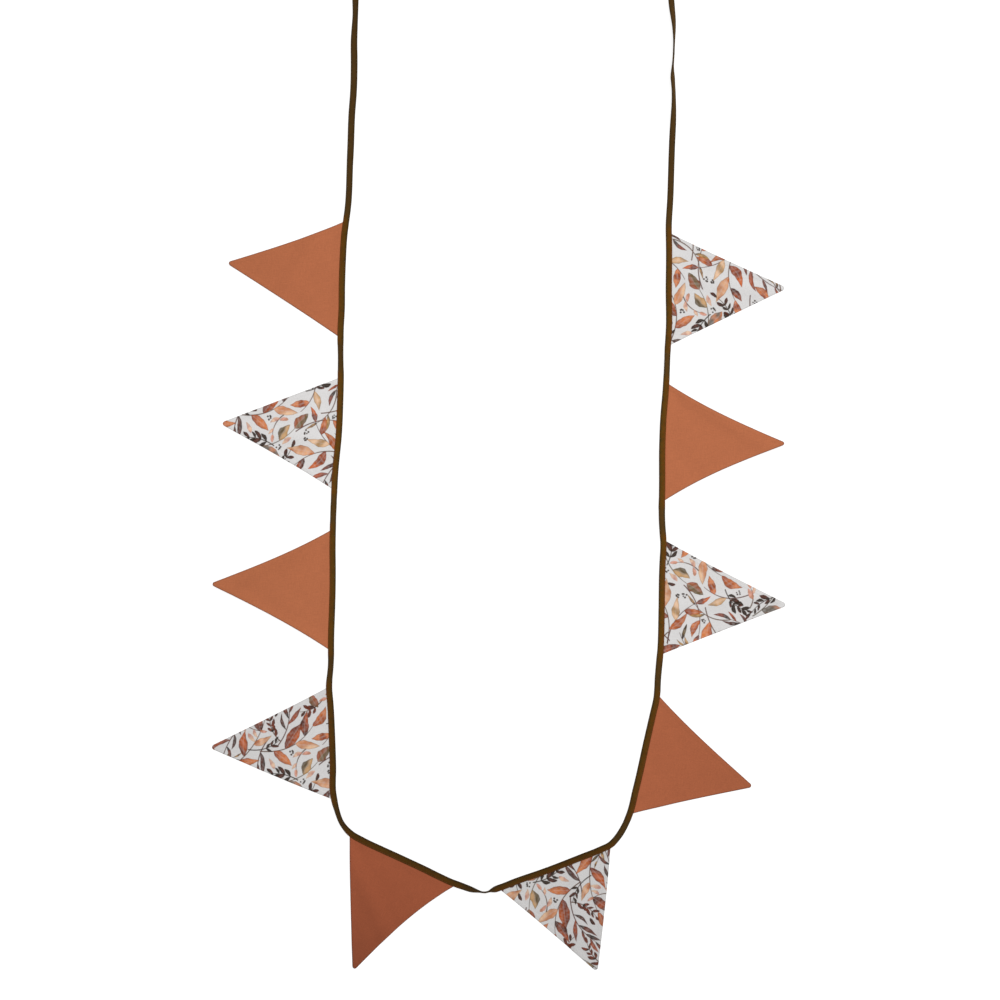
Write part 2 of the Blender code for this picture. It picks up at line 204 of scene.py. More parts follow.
# Kinds of painted leaf. full: width as a share of length. lead: under 1 is widest nearer the stalk. blunt:
# under 1 has rounder ends. ink: how much of the cloth it covers. halves: how unlike its two halves are.
Kind = namedtuple("Kind", "full lead blunt ink halves wet_edge rib")
KINDS = {
    "broad": Kind(0.35, 0.76, 1.00, 0.98, 0.55, 0.42, 0.22),
    "round": Kind(0.52, 0.84, 0.88, 0.95, 1.00, 0.38, 0.18),
    "willow": Kind(0.19, 0.84, 1.00, 0.98, 0.45, 0.28, 0.05),
    "oval": Kind(0.37, 1.00, 0.72, 0.98, 0.30, 0.12, 0.05),
    "petal": Kind(0.38, 0.80, 0.85, 0.80, 0.50, 0.20, 0.00),
}

# The printed repeat is a square of cloth. Each row is a kind of spray: how many are on it, the length and bow
# of the stem, how many leaves, their size and how far they stand off, and the inks that they take in turn,
# each pair from the stalk to the point.
REPEAT = 210.0
PRINT_SEED = 11
PLACES_TRIED = 40
OVERLAP_ALLOWED = 0.9
DISCS_AT = np.array([0.25, 0.4, 0.55, 0.7, 0.85])
Spray = namedtuple("Spray", "count kind length bow steps pairs size splay stalk inks")
SPRAYS = (
    Spray(4, "broad", 100, 13, 4, False, 47, 36, "umber",
          (("rust", "terracotta"), ("brick", "orange"), ("terracotta", "peach"), ("burgundy", "rust"))),
    Spray(3, "round", 64, 8, 2, False, 38, 46, "ash",
          (("ash", "terracotta"), ("olive", "tan"), ("rust", "olive"))),
    Spray(4, "willow", 84, 10, 7, False, 35, 28, "burgundy",
          (("burgundy", "brick"), ("brown", "burgundy"), ("brick", "rust"), ("brown", "brick"))),
    Spray(3, "broad", 76, -10, 3, False, 40, 38, "burgundy",
          (("brick", "orange"), ("tan", "peach"), ("rust", "terracotta"))),
    Spray(5, "oval", 50, 6, 5, True, 16.5, 40, "brown", (("brown", "brown"), ("brown", "burgundy"))),
    Spray(3, "willow", 60, -8, 5, False, 29, 32, "umber",
          (("olive", "tan"), ("brown", "olive"), ("umber", "tan"))),
    Spray(4, "petal", 34, 4, 3, False, 18, 34, "umber", (("blush", "peach"), ("terracotta", "blush"))),
    Spray(3, "oval", 40, -5, 4, True, 14, 42, "umber", (("brick", "burgundy"), ("brown", "brick"))),
)
# Leaves and berries on their own, in the room that is left
Loose = namedtuple("Loose", "count kind length bow inks")
LOOSE = (
    Loose(2, "round", 34, 2, ("olive", "tan")),
    Loose(3, "broad", 34, 4, ("tan", "peach")),
    Loose(2, "broad", 31, -4, ("rust", "orange")),
    Loose(2, "willow", 25, 2, ("burgundy", "brick")),
    Loose(4, "petal", 18, 1, ("blush", "peach")),
    Loose(2, "oval", 13, 1, ("brown", "burgundy")),
    Loose(4, "petal", 14, 1, ("terracotta", "blush")),
)
Berries = namedtuple("Berries", "clusters each radius spread ink")
BERRIES = (
    Berries(1, 3, 4.4, 7.5, "orange"),
    Berries(7, 5, 1.4, 3.9, "brown"),
)
Stem = namedtuple("Stem", "x y angle length bow ink")
Leaf = namedtuple("Leaf", "kind x y angle length bow inks seed")
Berry = namedtuple("Berry", "x y radius ink")


def linear(screen):
    """A screen colour from 0 to 255 as the linear colour that a shader takes."""
    c = np.asarray(screen, float) / 255
    return np.where(c <= 0.04045, c / 12.92, ((c + 0.055) / 1.055) ** 2.4)


def smoothstep(t):
    """0 below 0, 1 above 1 and 3 t^2 - 2 t^3 between."""
    t = np.clip(t, 0.0, 1.0)
    return t * t * (3 - 2 * t)


def directions(angle):
    """The unit vector at this angle and the one to its left."""
    return np.array([(math.cos(angle), math.sin(angle)), (-math.sin(angle), math.cos(angle))])


def ripple(place, wavelength, seed, waves=5):
    """Soft random field, about -1 to 1: plane waves of about this wavelength, each its own way, added up."""
    draw = np.random.default_rng(seed)
    way = draw.uniform(0, 2 * math.pi, waves)
    pace = 2 * math.pi / (wavelength * draw.uniform(0.7, 1.5, waves))
    start = draw.uniform(0, 2 * math.pi, waves)
    across = place @ np.stack([np.cos(way), np.sin(way)])
    return np.sin(across * pace + start).sum(-1) / math.sqrt(waves)


class Route:
    """The tape's middle line: a smooth curve through the route's points, read by length of tape."""

    def __init__(self, rows):
        points = np.array(rows, float) - MIDDLE
        knots = np.r_[0, np.cumsum(np.hypot(*np.diff(points, axis=0).T))]
        slopes = np.gradient(points, knots, axis=0)
        t = np.linspace(0, knots[-1], int(knots[-1] / 0.5) + 1)
        k = np.clip(np.searchsorted(knots, t, side="right") - 1, 0, len(knots) - 2)
        span = (knots[k + 1] - knots[k])[:, None]
        f = (t - knots[k])[:, None] / span
        self.xy = (
            points[k] * (1 + 2 * f) * (1 - f) ** 2
            + points[k + 1] * (3 - 2 * f) * f**2
            + span * (slopes[k] * f * (1 - f) ** 2 - slopes[k + 1] * (1 - f) * f**2)
        )
        self.length = np.r_[0, np.cumsum(np.hypot(*np.diff(self.xy, axis=0).T))]
        self.way = np.gradient(self.xy, self.length, axis=0)
        self.way /= np.linalg.norm(self.way, axis=1)[:, None]

    def at(self, s):
        """Middle point and outward direction at these lengths of tape."""
        xy, way = (np.stack([np.interp(s, self.length, line[:, i]) for i in (0, 1)], -1)
                   for line in (self.xy, self.way))
        way /= np.linalg.norm(way, axis=-1, keepdims=True)
        return xy, np.stack([way[..., 1], -way[..., 0]], -1)


def tape_lean(s):
    """Angle at which the tape leans: the largest of its leans there, each a cosine-squared hump."""
    lean = np.zeros_like(s)
    for row in LEANS:
        near = np.minimum(np.abs(s - row.at) / np.where(s < row.at, row.before, row.after), 1)
        lean = np.maximum(lean, math.radians(row.degrees) * np.cos(near * math.pi / 2) ** 2)
    return lean


def tape_fullness(s):
    """1 where a pennant is between the tape's halves, 0 in the gaps and ties, and a soft change between."""
    swell = np.zeros_like(s)
    for row in PENNANTS:
        inside = np.minimum(s - row.start, row.start + row.width - s)
        swell = np.maximum(swell, smoothstep((inside + SWELL_FROM) / (SWELL_FROM - SWELL_FULL)))
    return swell


def put_mesh(name, points, faces, material, uv=None, numbers=None, colours=None):
    """A smooth mesh object from points in mm and arrays of faces, with its cloth map and point attributes."""
    mesh = bpy.data.meshes.new(name)
    mesh.vertices.add(len(points))
    mesh.vertices.foreach_set("co", (np.asarray(points) * METRES).astype(np.float32).ravel())
    loops = np.concatenate([np.asarray(f, np.int32).ravel() for f in faces])
    sizes = np.concatenate([np.full(len(f), np.asarray(f).shape[1]) for f in faces])
    mesh.loops.add(len(loops))
    mesh.loops.foreach_set("vertex_index", loops)
    mesh.polygons.add(len(sizes))
    mesh.polygons.foreach_set("loop_start", (np.cumsum(sizes) - sizes).astype(np.int32))
    mesh.update(calc_edges=True)
    mesh.polygons.foreach_set("use_smooth", np.ones(len(sizes), bool))
    if uv is not None:
        layer = mesh.uv_layers.new(name="cloth")
        layer.data.foreach_set("uv", (uv[loops] * METRES).astype(np.float32).ravel())
    for title, values in (numbers or {}).items():
        layer = mesh.attributes.new(title, "FLOAT", "POINT")
        layer.data.foreach_set("value", values.astype(np.float32))
    for title, values in (colours or {}).items():
        layer = mesh.color_attributes.new(title, "FLOAT_COLOR", "POINT")
        layer.data.foreach_set("color", np.c_[values, np.ones(len(values))].astype(np.float32).ravel())
    mesh.materials.append(material)
    mesh.validate()
    obj = bpy.data.objects.new(name, mesh)
    bpy.context.scene.collection.objects.link(obj)
    return obj


class Nodes:
    """Short calls for building a material's nodes."""

    def __init__(self, name):
        self.material = bpy.data.materials.new(name)
        self.material.use_nodes = True
        self.tree = self.material.node_tree
        self.shader = self.tree.nodes["Principled BSDF"]

    def add(self, kind, values=(), **settings):
        node = self.tree.nodes.new(kind)
        for key, value in settings.items():
            setattr(node, key, value)
        return self.fill(node, values)

    def fill(self, node, values):
        for key, value in dict(values).items():
            socket = node.inputs[key]
            if isinstance(value, bpy.types.NodeSocket):
                self.tree.links.new(value, socket)
            else:
                socket.default_value = value
        return node

    def maths(self, operation, a, b=0.0, clamp=False):
        return self.add("ShaderNodeMath", {0: a, 1: b}, operation=operation, use_clamp=clamp).outputs[0]

    def product(self, *factors):
        result = factors[0]
        for factor in factors[1:]:
            result = self.maths("MULTIPLY", result, factor)
        return result

    def blend(self, how, factor, a, b):
        values = {0: factor, 6: a, 7: b}
        node = self.add("ShaderNodeMix", data_type="RGBA", blend_type=how, clamp_result=False)
        return self.fill(node, values).outputs[2]

    def spread(self, value, low, high, to_low, to_high):
        node = self.add("ShaderNodeMapRange", {0: value, 1: low, 2: high, 3: to_low, 4: to_high})
        return node.outputs[0]

    def noise(self, place, scale, detail):
        return self.add("ShaderNodeTexNoise", {"Vector": place, "Scale": scale, "Detail": detail}).outputs[0]

    def bands(self, place, scale, distortion, detail, way):
        values = {"Vector": place, "Scale": scale, "Distortion": distortion, "Detail": detail}
        return self.add("ShaderNodeTexWave", values, wave_type="BANDS", bands_direction=way).outputs[1]

    def cloth_map(self):
        return self.add("ShaderNodeUVMap", uv_map="cloth").outputs[0]

    def point(self, name, output="Fac"):
        return self.add("ShaderNodeAttribute", attribute_name=name).outputs[output]

    def finish(self, base, tone, bump, **more):
        """The colour base times tone, a bump (strength, distance in metres, height), and other inputs."""
        node = self.add("ShaderNodeBump", zip(("Strength", "Distance", "Height"), bump))
        colour = self.blend("MULTIPLY", 1.0, base, tone)
        self.fill(self.shader, {"Base Color": colour, "Normal": node.outputs[0]})
        self.fill(self.shader, {key.replace("_", " "): value for key, value in more.items()})
        return self.material


def weave_nodes(nodes, place, pitch, turn):
    """A plain weave at this pitch in metres: its bands, the slubs along its threads, and its height."""
    turn = (0, 0, math.radians(turn))
    turned = nodes.add("ShaderNodeMapping", {"Vector": place, "Rotation": turn}).outputs[0]
    warp, weft = (nodes.bands(turned, 2 * math.pi / (20 * pitch), 0.6, 1.0, way) for way in "XY")
    weave = nodes.product(warp, weft)
    drawn = [nodes.add("ShaderNodeMapping", {"Vector": turned, "Scale": stretch}).outputs[0]
             for stretch in ((0.05, 1, 1), (1, 0.05, 1))]
    slubs = nodes.maths("ADD", *[nodes.noise(stretched, 0.7 / pitch, 2.0) for stretched in drawn])
    return weave, slubs, nodes.maths("ADD", weave, nodes.product(slubs, 0.8))


def cotton(name, sheen, colour=None, paint=None, mottle=0.02, slub=0.16, seam_shade=0.45):
    """Matt plain-weave cotton in one colour or printed: mottled, slubbed, and with painted shade along its
    seams.
    """
    nodes = Nodes(name)
    place = nodes.cloth_map()
    weave, slubs, height = weave_nodes(nodes, place, THREAD_PITCH, 0)
    clouds = nodes.spread(nodes.noise(place, 26.0, 3.0), 0.3, 0.7, 1 - mottle, 1 + mottle)
    flecks = nodes.spread(nodes.noise(place, 420.0, 2.0), 0.35, 0.65, -0.03, 0.03)
    bright = nodes.maths("ADD", clouds, nodes.spread(slubs, 0.7, 1.3, -slub / 2, slub / 2))
    # Painted shade: the tone attribute darkens whole pennants and their tips, and seam_shade darkens the
    # cloth near its seams where it rounds over.
    bright = nodes.product(
        nodes.maths("ADD", bright, flecks), nodes.spread(weave, 0.0, 1.0, 0.93, 1.05), nodes.point("tone"),
        nodes.spread(nodes.point("seam"), 0.1, 1.8, seam_shade, 1.0))
    base = nodes.point(paint, "Color") if paint else (*colour, 1.0)
    return nodes.finish(
        base, bright, (0.35, 0.00018, height), Roughness=nodes.spread(weave, 0.0, 1.0, 0.92, 0.82),
        Specular_IOR_Level=0.15, Sheen_Weight=sheen, Sheen_Roughness=0.5)


def binding_cotton(settings):
    """Dark binding cut on the bias: its weave is at 45 degrees to the strip, and painted shade darkens its
    edges.

    Where it holds a pennant it is warmer along its stitches. Where it is bare it is greyer, and painted shade
    darkens both edges. Painted shade also darkens the half next to the fold, where the tape rounds over.
    """
    nodes = Nodes("olive_brown_binding")
    place = nodes.cloth_map()
    weave, slubs, height = weave_nodes(nodes, place, BINDING_PITCH, 45)
    # Painted shade darkens the tape towards each edge that shows, with random mottle in the same dark colour.
    edge_shade_and_mottle = nodes.spread(nodes.noise(place, 110.0, 3.0), 0.35, 0.65, -0.30, 0.30)
    edge_shade_and_mottle = nodes.maths("ADD", nodes.spread(nodes.point("edge"), 0.2, 3.4, 0.85, 0.0), edge_shade_and_mottle, clamp=True)
    patches = nodes.spread(nodes.noise(place, 330.0, 2.0), 0.40, 0.62, 0.0, 0.55)
    fold, held = nodes.point("fold"), nodes.point("held")
    bare = nodes.maths("SUBTRACT", 1.0, held)
    base = (*settings.colour, 1.0)
    # Painted shade: the edge colour darkens the edges that show, the bare tape's stitched edge and the half
    # towards the fold. The warm colour goes on random patches and along the stitches.
    for share, colour in (
        (edge_shade_and_mottle, settings.edge_shade_and_mottle_colour),
        (patches, settings.warm_colour),
        (nodes.product(nodes.spread(fold, 0.12, 0.50, 0.75, 0.0), held), settings.warm_colour),
        (nodes.product(bare, 0.55), settings.bare_colour),
        (nodes.product(nodes.spread(fold, 0.06, 0.36, 0.60, 0.0), bare), settings.edge_shade_and_mottle_colour),
        (nodes.spread(fold, 0.55, 0.95, 0.0, 0.50), settings.edge_shade_and_mottle_colour),
    ):
        base = nodes.blend("MIX", share, base, (*colour, 1.0))
    # Painted shade: tone darkens the tape on its ties and round its foot.
    bright = nodes.product(
        nodes.spread(slubs, 0.7, 1.3, 0.84, 1.16), nodes.spread(weave, 0.0, 1.0, 0.85, 1.08),
        nodes.point("tone"))
    return nodes.finish(base, bright, (0.5, 0.0002, height), Roughness=0.88, Specular_IOR_Level=0.12)


def sewing_thread(colour):
    """Two-ply sewing thread: fine slanting ridges in object coordinates, a little glossier than the cloth."""
    nodes = Nodes("brown_sewing_thread")
    place = nodes.add("ShaderNodeTexCoord").outputs["Object"]
    twist = nodes.bands(place, 900.0, 1.0, 2.0, "DIAGONAL")
    return nodes.finish((*colour, 1.0), nodes.spread(twist, 0.0, 1.0, 0.75, 1.15), (0.4, 0.0001, twist),
                        Roughness=0.6)


def tape_section(s, settings):
    """The strip's middle surface across each place s, from the upper lip round the fold to the lower lip.

    The upper wall runs straight in from the lip at half the opening's height, bulges a little, and is pinched
    at the stitches. It turns round the fold on a half circle, and the lower wall mirrors it. The walls part
    by the sine squared of the lean. Gives across, above, how far each point is round the strip in mm, how far
    it is from an edge that shows, and its share of the way from the stitched edge to the fold.
    """
    wall = settings.wall * MM
    full = tape_fullness(s)[:, None]
    last = PENNANTS[-1].start + PENNANTS[-1].width
    between = smoothstep(np.minimum(s - PENNANTS[0].start, last - s) / NARROWING_OVER)[:, None]
    shown = np.interp(s, *np.array(WIDTHS, float).T)[:, None]
    width = settings.width * MM * shown * (1 - GAP_NARROWING * between * (1 - full))
    fold_radius = FOLD_RADIUS + FOLD_SWELL * full
    lip_height = 0.5 * wall + LIP_GAP + LIP_SWELL * full
    straight = width - 0.5 * wall - fold_radius
    reach = np.minimum(FROM_LIP, straight)
    along = reach / straight
    bulge = (BULGE + PARTED * np.sin(tape_lean(s)[:, None]) ** 2) * np.sin(math.pi * along)
    pinch = PINCH * np.exp(-(((reach - settings.stitch_inset * MM) / PINCH_REACH) ** 2))
    upper = lip_height + (fold_radius - lip_height) * smoothstep(along) + bulge - pinch
    lip = 0.5 * width
    across = lip - reach
    fold_across = lip - straight - fold_radius * np.cos(FOLD_ANGLES)
    across = np.concatenate([across, fold_across, across[:, ::-1]], 1)
    above = np.concatenate([upper, fold_radius * np.sin(FOLD_ANGLES), -upper[:, ::-1]], 1)
    shown_edge = np.minimum(across - lip + width, lip - across)
    fold_side = np.clip((lip - across) / width, 0, 1)
    steps = np.hypot(np.diff(across, axis=1), np.diff(above, axis=1))
    girth = np.concatenate([np.zeros((len(s), 1)), np.cumsum(steps, 1)], 1)
    return across, above, girth, shown_edge, fold_side


def tape_frame(route, s, settings):
    """Where the tape's own axes are at each s: its middle, which way is outward and how it leans."""
    xy, outward = route.at(s)
    waver = ripple(s[:, None] * [[1.0, 0.0]], WAVER_LENGTH, 3)
    xy = xy + outward * (WAVER * waver)[:, None]
    lean = tape_lean(s)
    thick = 2 * (FOLD_RADIUS + FOLD_SWELL * tape_fullness(s)) + settings.wall * MM
    height = SOLID_TAPE_WIDTH / 2 * np.sin(lean) + thick / 2 * np.cos(lean)
    return xy, outward, lean, height


def on_tape(at, across, above):
    """Points of the tape: its middle + across (out cos - up sin) + above (out sin + up cos) of the lean."""
    xy, outward, lean, height = at
    more = (slice(None),) + (None,) * (across.ndim - 1)
    sideways = across * np.cos(lean)[more] + above * np.sin(lean)[more]
    up = height[more] - across * np.sin(lean)[more] + above * np.cos(lean)[more]
    flat = xy[more] + sideways[..., None] * outward[more]
    return np.concatenate([flat, up[..., None]], -1)


def grid_faces(rows, columns):
    """Quads of a grid of points kept row by row."""
    corner = (np.arange(rows - 1)[:, None] * columns + np.arange(columns - 1)).ravel()
    return np.c_[corner, corner + 1, corner + columns + 1, corner + columns]


def make_tape(route, settings, material):
    """The folded strip: its outer and inner faces lie half a wall either side of its middle surface."""
    total = route.length[-1]
    s = np.linspace(0, total, int(total / TAPE_STEP) + 1)
    across, above, girth, shown_edge, fold_side = tape_section(s, settings)
    run = np.gradient(across, axis=1), np.gradient(above, axis=1)
    size = np.hypot(*run)
    off_across, off_above = -run[1] / size, run[0] / size
    half = np.full(across.shape, 0.5 * settings.wall * MM)
    half[:, [0, -1]] *= LIP_THINNED
    at = tape_frame(route, s, settings)
    outer = on_tape(at, across - off_across * half, above - off_above * half)
    inner = on_tape(at, across + off_across * half, above + off_above * half)
    rows, columns = across.shape
    count = rows * columns
    quads = grid_faces(rows, columns)
    number = np.arange(count).reshape(rows, columns)
    rim = np.concatenate([number[0], number[1:, -1], number[-1, -2::-1], number[-2:0:-1, 0]])
    after = np.roll(rim, -1)
    faces = [quads[:, ::-1], quads + count, np.c_[rim, after, after + count, rim + count]]
    uv = np.stack([np.broadcast_to(s[:, None], across.shape), girth], -1).reshape(-1, 2)
    # Painted shade along the tape, from the table above
    tone = np.interp(s, *np.array(TAPE_SHADES, float).T)[:, None]
    numbers = {"edge": shown_edge, "fold": fold_side, "tone": tone, "held": tape_fullness(s)[:, None]}
    numbers = {name: np.tile(np.broadcast_to(one, across.shape).ravel(), 2) for name, one in numbers.items()}
    tape = put_mesh("folded_binding", np.concatenate([outer, inner]).reshape(-1, 3), faces, material,
                    uv=np.concatenate([uv, uv]), numbers=numbers)
    return tape, total


def make_stitches(route, settings, material):
    """Machine stitches on both faces: short threads of square section whose two ends sink into the cloth."""
    total = route.length[-1]
    pitch = settings.stitch_pitch * MM
    radius = settings.thread * MM / 2
    first = np.arange(STITCHES_FROM_END, total - STITCHES_FROM_END, pitch)
    s = (first[:, None] + STITCH_SHARES * STITCH_LENGTH * pitch).ravel()
    across, above = tape_section(s, settings)[:2]
    at = tape_frame(route, s, settings)
    wall = settings.wall * MM
    corners = np.array([(1, 0), (0, 1), (-1, 0), (0, -1)]) * radius
    slant = np.tile(STITCH_SLANT, len(first))
    sides = []
    for side in (1, -1):
        middle = side * (above[:, STITCH_COLUMN] + wall / 2 + np.tile(STITCH_LIFTS, len(first)))
        ring_across = across[:, STITCH_COLUMN, None] + slant[:, None] + corners[:, 0]
        ring_above = middle[:, None] + side * corners[:, 1]
        sides.append(on_tape(at, ring_across, ring_above))
    points = np.stack(sides).reshape(2 * len(first), 4, 4, 3)
    ring = np.arange(4)
    after = np.roll(ring, -1)
    band = np.c_[ring, after, after + 4, ring + 4]
    tube = np.concatenate([band, band + 4, band + 8, [[3, 2, 1, 0], [12, 13, 14, 15]]])
    base = np.arange(len(points)) * 16
    upper_faces = (base[: len(first), None, None] + tube).reshape(-1, 4)
    lower_faces = (base[len(first):, None, None] + tube[:, ::-1]).reshape(-1, 4)
    return put_mesh("tape_stitches", points.reshape(-1, 3), [upper_faces, lower_faces], material)


def lattice(rows, tab_rows):
    """A triangle's points in rows from top to tip, one fewer in each, under some whole rows for the tab.

    Gives each point's row and place in it, the number in each row, and the triangles of one side.
    """
    sizes = np.r_[np.full(tab_rows, rows + 1), np.arange(rows + 1, 0, -1)]
    first = np.cumsum(sizes) - sizes
    row = np.repeat(np.arange(len(sizes)), sizes)
    place = np.arange(len(row)) - first[row]
    head = np.flatnonzero(place < sizes[row] - 1)
    below = first[row[head] + 1] + place[head]
    down = np.c_[head, below, head + 1]
    inner = place[head] + 1 < sizes[row[head] + 1]
    up = np.c_[head + 1, below, below + 1][inner]
    return row, place, sizes, np.concatenate([down, up])


Plan = namedtuple("Plan", "flat along out fraction seam to_first to_last side faces rim top in_tab rise")


def pennant_plan(pennant, route, rows):
    """The pennant seen from above, point by point on its lattice.

    A row lies on lines from the tape's edge to the point where the sides meet, bowed in by 4 d (1 - d) of the
    hollow, a little more on the upper half, and is narrowed to a circle at the tip. Rows are closer near the
    tip: k steps from it they are a k^2 / (k + 4) away.
    """
    row, place, sizes, faces = lattice(rows, len(TAB))
    steps_up = np.maximum(len(sizes) - 1 - row, 0)
    in_tab = row < len(TAB)
    ends, ends_out = route.at(np.array([pennant.start, pennant.start + pennant.width], float))
    corners = ends + ends_out * SOLID_TAPE_WIDTH / 2
    top_line = corners[1] - corners[0]
    half_width = np.hypot(*top_line) / 2
    along_way = top_line / (2 * half_width)
    out_way = np.array([along_way[1], -along_way[0]])
    slope = math.atan2(half_width, pennant.depth)
    centre = TIP_RADIUS / math.sin(slope)
    to_point = pennant.depth + centre - TIP_RADIUS
    middle = corners.mean(0)
    point = middle + out_way * to_point + along_way * pennant.skew

    k = np.where(in_tab, rows, steps_up)
    from_tip = pennant.depth * (rows + CLOSE_ROWS) / rows**2 * k**2 / (k + CLOSE_ROWS)
    down = (pennant.depth - from_tip) / to_point
    above_point = from_tip + centre - TIP_RADIUS
    on_circle = np.sqrt(np.maximum(TIP_RADIUS**2 - (above_point - centre) ** 2, 0))
    capped = above_point < centre - TIP_RADIUS * math.sin(slope)
    narrow = np.where(capped, on_circle / (above_point * math.tan(slope)), 1.0)

    row_width = 2 * half_width * (1 - down) * narrow
    gaps = np.maximum(sizes[row] - 1, 1)
    brim = np.minimum(RIM_STRIP / np.maximum(row_width, 1e-6), RIM_STRIP_SHARE / gaps)
    spread = np.where(
        sizes[row] > 4,
        np.clip(brim + (1 - 2 * brim) * (place - 1) / np.maximum(gaps - 2, 1), 0, 1),
        place / gaps,
    )
    spread = np.where(place == 0, 0.0, np.where(place == sizes[row] - 1, 1.0, spread))
    spread = np.where(sizes[row] == 1, 0.5, spread)

    s = pennant.start + spread * pennant.width
    base, outward = route.at(s)
    edge = base + outward * SOLID_TAPE_WIDTH / 2
    bow = 4 * down * (1 - down) * (1 + HOLLOW_NEAR_TOP * (1 - 2 * down))
    bow_in = bow * (pennant.hollow_first * (1 - spread) ** 2 - pennant.hollow_last * spread**2)
    ruled = edge * (1 - down[:, None]) + point * down[:, None] + bow_in[:, None] * along_way
    row_middle = middle * (1 - down[:, None]) + point * down[:, None]
    row_middle = row_middle + (bow * (pennant.hollow_first - pennant.hollow_last) / 2)[:, None] * along_way
    flat = row_middle + (ruled - row_middle) * narrow[:, None]
    tab_depth = np.r_[TAB, np.zeros(len(sizes) - len(TAB))][row]
    lean = tape_lean(s)
    in_tape = base + outward * ((SOLID_TAPE_WIDTH / 2 - tab_depth) * np.cos(lean))[:, None]
    flat = np.where(in_tab[:, None], in_tape, flat)

    leaned = math.cos(slope)
    to_first = row_width * spread * leaned
    to_last = row_width * (1 - spread) * leaned
    seam = np.minimum(np.minimum(to_first, to_last), from_tip)
    from_middle = flat - middle
    return Plan(
        flat=flat, along=from_middle @ along_way, out=from_middle @ out_way, in_tab=in_tab, faces=faces,
        fraction=np.where(in_tab, 0.0, down), seam=seam, to_first=to_first, to_last=to_last,
        rim=(place == 0) | (place == sizes[row] - 1) | (row == 0), top=row == 0,
        side=math.hypot(half_width, to_point), rise=np.where(in_tab, tab_depth * np.sin(lean), 0.0))


def relief(number, pennant, plan):
    """Height of the underside: down from the tape's slot, over its soft folds, and up where the tip curls."""
    slot_height = SOLID_TAPE_THICK / 2 - SOLID_CLOTH / 2
    out, along = plan.out, plan.along
    height = slot_height * (1 - smoothstep(out / SETTLE))
    for fold in FOLDS:
        if fold.pennant == number:
            angle = math.radians(fold.angle)
            off = (along - fold.along) * math.sin(angle) - (out - fold.out) * math.cos(angle)
            near = np.minimum(np.abs(off) / fold.reach, 1)
            height += fold.height * np.cos(near * math.pi / 2) ** 2 * smoothstep(out / RIDGE_FADE)
    height += pennant.curl * smoothstep((plan.fraction - TIP_CURL_FROM) / (1 - TIP_CURL_FROM))
    return np.where(plan.in_tab, slot_height, height)


def crumple(number, plan, settings):
    """Small lifts of the cloth: puckers square to each seam that die out inwards, and a slow inner swell."""
    pucker = settings.pucker * MM
    draw = np.random.default_rng(number)
    lift = np.zeros(len(plan.seam))
    for to_seam in (plan.to_first, plan.to_last):
        wave, start = draw.uniform(*PUCKER_LENGTHS), draw.uniform(0, 2 * math.pi)
        run = plan.fraction * plan.side
        beat = 0.6 + 0.4 * np.sin(run / PUCKER_BEAT + start)
        lift += pucker * beat * np.sin(2 * math.pi * run / wave + start) * np.exp(-to_seam / PUCKER_REACH)
    inside = smoothstep(plan.seam / SWELL_FROM_SEAM) * smoothstep(plan.out / SWELL_FROM_TAPE)
    place = np.stack([plan.along, plan.out], -1)
    swell = settings.swell * MM * (0.5 + 0.5 * np.clip(ripple(place, SWELL_LENGTH, 40 + number), -1, 1))
    return np.maximum(lift * smoothstep(plan.out / PUCKERS_FROM) + swell * inside, 0)


def bowed(mark, t):
    """Points at shares t along a bowed stem or midrib: straight on, and 4 bow t (1 - t) to the left."""
    way, left = directions(mark.angle)
    t = np.reshape(t, (-1, 1))
    return (mark.x, mark.y) + mark.length * t * way + 4 * mark.bow * t * (1 - t) * left


def leaf_width(kind, length, t):
    """Half width of a leaf at a share t of its length: sin(pi t^lead)^blunt."""
    style = KINDS[kind]
    return style.full * length / 2 * np.sin(math.pi * t**style.lead) ** style.blunt


def leaf_discs(leaf):
    """Discs that stand for a leaf when the layout looks for room: on its midrib, and as wide as it is."""
    return np.c_[bowed(leaf, DISCS_AT), leaf_width(leaf.kind, leaf.length, DISCS_AT)]


def shortest(away):
    """The shortest of the ways between two places on the repeating cloth."""
    return away - REPEAT * np.round(away / REPEAT)


def room(discs, taken):
    """How far each disc is from those already on the repeating cloth."""
    away = shortest(discs[:, None, :2] - taken[None, :, :2])
    return (np.hypot(away[..., 0], away[..., 1]) - discs[:, None, 2] - taken[:, 2]).min(1)


def spray_leaves(spray, stem, draw):
    """A spray's leaves at even steps on its bowed stem, in pairs or alternating, smaller towards the tip."""
    for step in range(spray.steps + 1):
        t = 0.2 + 0.8 * step / spray.steps
        spot = bowed(stem, [t])[0]
        heading = stem.angle + math.atan2(4 * stem.bow * (1 - 2 * t), stem.length)
        sides = (0,) if step == spray.steps else (1, -1) if spray.pairs else (1 - 2 * (step % 2),)
        for side in sides:
            size = spray.size * (1 - 0.3 * t) * draw.uniform(0.72, 1.18)
            turn = heading + side * math.radians(spray.splay * draw.uniform(0.6, 1.3))
            inks = spray.inks[step % len(spray.inks)]
            bow = (side or 1) * size * draw.uniform(-0.04, 0.13)
            yield Leaf(spray.kind, *spot, turn, size, bow, inks, int(draw.integers(1000)))


